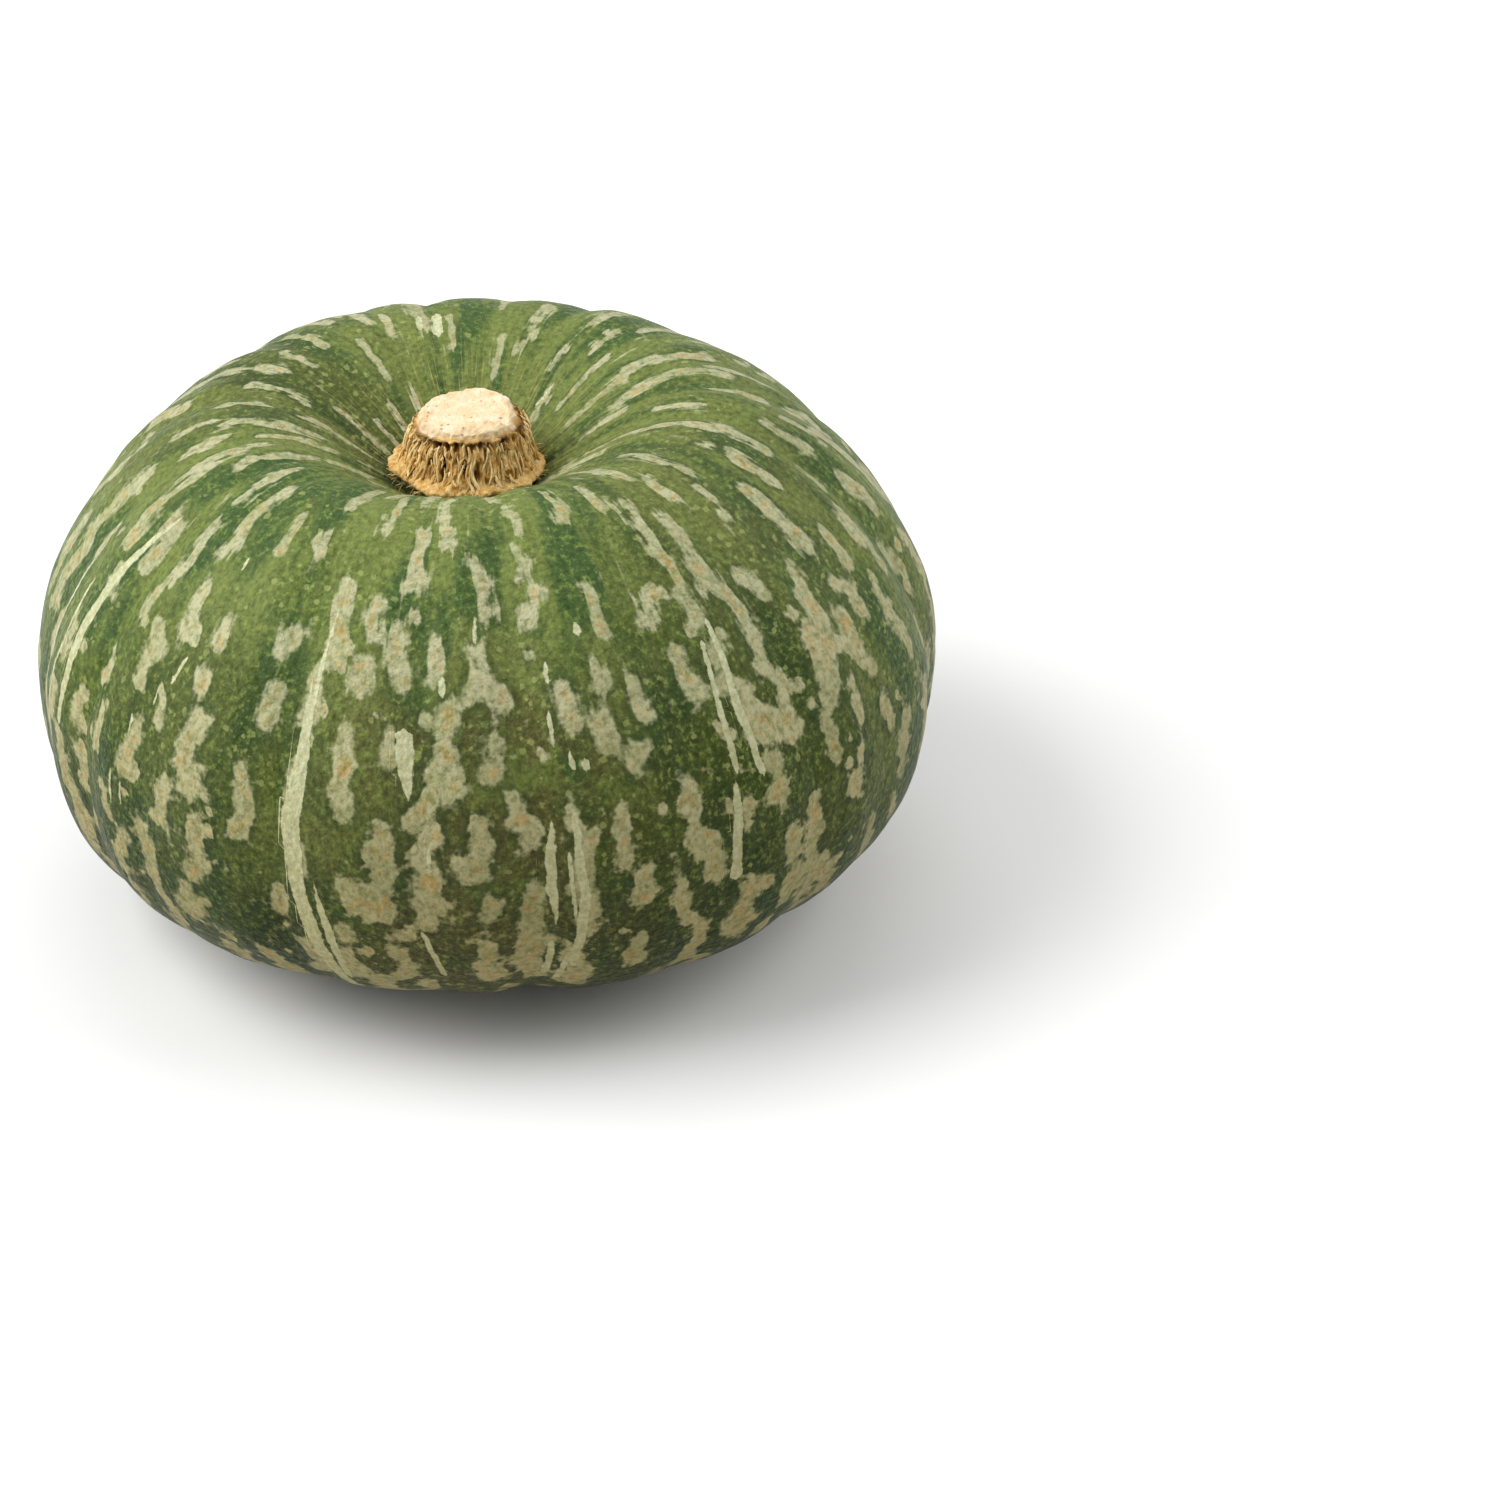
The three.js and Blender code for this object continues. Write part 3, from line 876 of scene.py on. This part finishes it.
def corkMaterial():
    material, tree, surface = newMaterial("cork")
    position = addNode(tree, "TexCoord", {}).outputs["Object"]
    hollow = layer(tree, "hollow")
    height = layer(tree, "stemHeight")
    streaks = clouds(tree, moved(tree, position, (0, 0, 0), (1, 1, 0.3)), 900, 4, 0.6)
    patchy = clouds(tree, position, 260, 3, 0.6)
    fine = clouds(tree, position, 2200, 3, 0.6)
    color = blend(tree, ease(tree, streaks, 0.35, 0.65), cork["side"], cork["sideStreak"])
    patches = product(tree, ease(tree, patchy, 0.5, 0.7), 0.6)
    color = blend(tree, patches, color, cork["sidePatch"])
    # painted shade: the pits and crevices darkened by their depth, the deepest nearly black
    color = blend(tree, ease(tree, hollow, 0.35, 1.2), color, cork["hollow"])
    color = blend(tree, ease(tree, hollow, 1.3, 2.3), color, cork["deepestShade"])
    # a dark torn band under the cut, broken here and there
    under = product(tree, ease(tree, height, 13.6, 15.2), ease(tree, height, 16.6, 15.8))
    torn = product(tree, under, ease(tree, patchy, 0.36, 0.56), 0.85)
    color = blend(tree, torn, color, cork["tornBand"])
    onFace = ease(tree, calc(tree, "ADD", height, swing(tree, patchy, 2.4)), 15.9, 16.7)
    color = blend(tree, onFace, color, cutFace(tree, position, patchy, fine))
    tree.links.new(color, surface.inputs["Base Color"])
    surface.inputs["Roughness"].default_value = cork["roughness"]
    surface.inputs["Specular IOR Level"].default_value = cork["specular"]
    raised = calc(tree, "ADD", product(tree, streaks, cork["ridges"]), product(tree, fine, cork["grit"]))
    relief = addNode(tree, "Bump", {"Height": raised, "Distance": 1.0, "Strength": 0.8})
    tree.links.new(relief.outputs[0], surface.inputs["Normal"])
    return material


fibres = {
    "seed": 51,
    "strands": 520,
    "hairs": 150,
    "sides": 4,
    "steps": 7,
    "thickness": (0.14, 0.42),
    "hairThickness": (0.05, 0.11),
    "hairFoot": 15.6,  # radius at which the hairs leave the collar
    "lowest": 5.2,  # height above the seat at which strands start
    "highest": (13.2, 15.4),
    "sunk": 0.4,  # how far inside the stem's outline they run
    "toneSeed": 52,
    "darkTone": tint(176, 130, 58),
    "paleTone": tint(240, 214, 158),
    "streak": tint(204, 162, 88),
    "roughness": 0.8,
    "relief": 0.0004,
}


# Thin tubes joined in one mesh. Each follows a path of points given as (tube, step, 3), with a ring
# of four corners round every point at right angles to the way the tube runs. They thin towards
# their ends with the square root of a sine, and each end is closed.
def tubesMesh(name, paths, thickness):
    tubes, steps = paths.shape[:2]
    along = np.gradient(paths, axis=1)
    along /= np.linalg.norm(along, axis=2, keepdims=True)
    outward = paths * [1, 1, 0] + [1e-6, 0, 0]
    outward -= along * (outward * along).sum(axis=2, keepdims=True)
    outward /= np.linalg.norm(outward, axis=2, keepdims=True)
    beside = np.cross(along, outward)
    spin = 2 * np.pi * np.arange(fibres["sides"]) / fibres["sides"]
    slim = np.sin(np.pi * np.linspace(0.12, 0.9, steps)) ** 0.5
    size = thickness[:, None, None, None] * slim[None, :, None, None]
    rings = paths[:, :, None] + size * (np.cos(spin)[:, None] * outward[:, :, None] +
                                        np.sin(spin)[:, None] * beside[:, :, None])
    corner = np.arange(fibres["sides"])
    after = np.roll(corner, -1)
    first = fibres["sides"] * np.arange(tubes * steps).reshape(tubes, steps)[:, :-1, None]
    higher = first + fibres["sides"]
    quads = np.stack([first + corner, first + after, higher + after, higher + corner], axis=3)
    starts = fibres["sides"] * steps * np.arange(tubes)[:, None]
    caps = np.concatenate([starts + corner[::-1], starts + fibres["sides"] * (steps - 1) + corner])
    mesh = bpy.data.meshes.new(name)
    faces = quads.reshape(-1, 4).tolist() + caps.tolist()
    mesh.from_pydata(rings.reshape(-1, 3).tolist(), [], faces)
    mesh.shade_smooth()
    piece = bpy.data.objects.new(name, mesh)
    bpy.context.scene.collection.objects.link(piece)
    return piece


# Loose strands up the stem's side: each climbs from near the collar towards the bark's shoulder,
# half sunk in the outline, wandering sideways and bulging outwards in the middle or at its free end.
# Hairs at the collar stand out and droop.
def fibrePaths():
    rng = np.random.default_rng(fibres["seed"])
    radii, heights = np.array(stem["radii"][4:13]), np.array(stem["heights"][4:13])
    t = np.linspace(0, 1, fibres["steps"])[None, :]
    count = fibres["strands"]

    def pick(low, high, amount=count):
        return rng.uniform(low, high, (amount, 1))

    start = fibres["lowest"] + 8 * pick(0, 1) ** 1.5
    end = np.minimum(start + pick(1.5, 7), pick(*fibres["highest"]))
    level = start + (end - start) * t
    angle = pick(0, 2 * np.pi) + pick(-0.09, 0.09) * t
    angle = angle + pick(0.005, 0.035) * np.sin(5 * t + pick(0, 6))
    bulge = pick(0, 0.5) * np.sin(np.pi * t) + pick(-0.9, 0.7) * t ** 3
    radius = np.interp(level, heights, radii) - fibres["sunk"] + pick(-0.45, 0.25) + bulge
    strands = np.stack([radius * np.sin(angle), -radius * np.cos(angle), level], axis=2)
    count = fibres["hairs"]
    angle = pick(0, 2 * np.pi, count) + pick(-0.1, 0.1, count) * t
    radius = fibres["hairFoot"] + pick(0, 0.7, count) + pick(0.8, 2.4, count) * t
    level = pick(3.4, 5.2, count) + pick(-1.5, 1.0, count) * t + pick(-0.6, 0.2, count) * t ** 2
    hairs = np.stack([radius * np.sin(angle), -radius * np.cos(angle), level], axis=2)
    thick = rng.uniform(*fibres["thickness"], fibres["strands"])
    thin = rng.uniform(*fibres["hairThickness"], fibres["hairs"])
    return np.concatenate([strands, hairs]), np.concatenate([thick, thin])


def fibreMaterial():
    material, tree, surface = newMaterial("cork_fibre")
    own = layer(tree, "ownTone")
    position = addNode(tree, "TexCoord", {}).outputs["Object"]
    along = clouds(tree, moved(tree, position, (0.1, 0, 0), (1, 1, 0.25)), 1500, 3, 0.6)
    color = blend(tree, ease(tree, own, 0.1, 0.8), fibres["darkTone"], fibres["paleTone"])
    streaks = product(tree, ease(tree, along, 0.45, 0.65), 0.5)
    color = blend(tree, streaks, color, fibres["streak"])
    tree.links.new(color, surface.inputs["Base Color"])
    surface.inputs["Roughness"].default_value = fibres["roughness"]
    surface.inputs["Specular IOR Level"].default_value = cork["specular"]
    sockets = {"Height": product(tree, along, fibres["relief"]), "Distance": 1.0, "Strength": 0.7}
    relief = addNode(tree, "Bump", sockets)
    tree.links.new(relief.outputs[0], surface.inputs["Normal"])
    return material


def makeFibres():
    paths, thickness = fibrePaths()
    low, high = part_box("stem")
    lean = stem["lean"] * paths[..., 2]
    piece = tubesMesh("stem_fibres", paths, thickness)
    flat = np.empty(3 * len(piece.data.vertices))
    piece.data.vertices.foreach_get("co", flat)
    place = flat.reshape(-1, 3)
    place[:, 0] += np.repeat(lean.ravel(), fibres["sides"]) + (low[0] + high[0]) / 2 / mm
    place[:, 1] += (low[1] + high[1]) / 2 / mm
    place[:, 2] += low[2] / mm - stem["heights"][0]
    piece.data.vertices.foreach_set("co", (place * mm).ravel())
    tones = np.random.default_rng(fibres["toneSeed"]).uniform(0, 1, len(thickness))
    tones = np.repeat(tones, fibres["sides"] * fibres["steps"])
    values = piece.data.attributes.new("ownTone", "FLOAT", "POINT")
    values.data.foreach_set("value", tones.astype(np.float32))
    piece.data.materials.append(fibreMaterial())
    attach(piece, "root")
    print("fibres made")


def makeStem():
    points, relief, side, level = stemPoints()
    piece = turnedMesh("cork_stem", points)
    # how deep each point lies in a pit or crevice, for the painted shade there
    paint(piece, "hollow", np.maximum(0, -relief) * side)
    paint(piece, "stemHeight", level)
    piece.data.materials.append(corkMaterial())
    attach(piece, "root")
    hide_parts("stem")
    print("stem made")


makeStem()
makeFibres()


# Table, light and camera

studio = {
    "elevation": 31,  # degrees the camera looks down
    "distance": 1.1,  # metres from the camera to the middle of the fruit
    "lens": 118,
    "beside": 0.0586,  # metres that the fruit's middle is left of the line of sight
    "above": 0.0251,  # and above it
    "fruitMiddle": 0.057,  # height of the fruit's widest level
    "sensorWidth": 36,
    "skyStrength": 0.42,
    "tableHalf": 4.0,
    "tableGrey": (0.86, 0.86, 0.86, 1),
    "tableRoughness": 0.9,
    # name, angle round from the front, height angle, distance, width and power
    "lights": [("key", -80, 42, 1.5, 1.3, 29), ("fill", 95, 38, 1.8, 1.4, 17),
               ("rim", 175, 60, 1.8, 1.4, 7)],
}


def makeTable():
    mesh = bpy.data.meshes.new("table")
    half = studio["tableHalf"]
    corners = [(-half, -half, 0), (half, -half, 0), (half, half, 0), (-half, half, 0)]
    mesh.from_pydata(corners, [], [(0, 1, 2, 3)])
    table = bpy.data.objects.new("table", mesh)
    bpy.context.scene.collection.objects.link(table)
    material, tree, surface = newMaterial("table_top")
    surface.inputs["Base Color"].default_value = studio["tableGrey"]
    surface.inputs["Roughness"].default_value = studio["tableRoughness"]
    mesh.materials.append(material)


# A soft square light that faces the fruit, at an angle round it from the front and a height angle.
def softLight(name, around, elevation, distance, size, power):
    light = bpy.data.lights.new(name, "AREA")
    light.size = size
    light.energy = power
    lamp = bpy.data.objects.new(name, light)
    turn, lift = math.radians(around), math.radians(elevation)
    away = Vector((math.sin(turn) * math.cos(lift), -math.cos(turn) * math.cos(lift), math.sin(lift)))
    lamp.location = Vector((0, 0, studio["fruitMiddle"])) + away * distance
    lamp.rotation_euler = away.to_track_quat("Z", "Y").to_euler()
    bpy.context.scene.collection.objects.link(lamp)


def makeCamera():
    lens = bpy.data.cameras.new("camera")
    lens.lens = studio["lens"]
    lens.sensor_width = studio["sensorWidth"]
    camera = bpy.data.objects.new("camera", lens)
    tilt = math.radians(studio["elevation"])
    camera.rotation_euler = Euler((math.pi / 2 - tilt, 0, 0))
    ahead = Vector((0, math.cos(tilt), -math.sin(tilt)))
    up = Vector((0, math.sin(tilt), math.cos(tilt)))
    middle = Vector((0, 0, studio["fruitMiddle"]))
    camera.location = middle - ahead * studio["distance"] - up * studio["above"]
    camera.location.x += studio["beside"]
    bpy.context.scene.collection.objects.link(camera)
    bpy.context.scene.camera = camera


def makeStudio():
    makeTable()
    for light in studio["lights"]:
        softLight(*light)
    world = bpy.data.worlds.new("studio")
    world.use_nodes = True
    sky = world.node_tree.nodes["Background"]
    sky.inputs["Color"].default_value = (1, 1, 1, 1)
    sky.inputs["Strength"].default_value = studio["skyStrength"]
    bpy.context.scene.world = world
    bpy.context.scene.view_settings.view_transform = "Standard"
    makeCamera()
    print("studio made")


makeStudio()
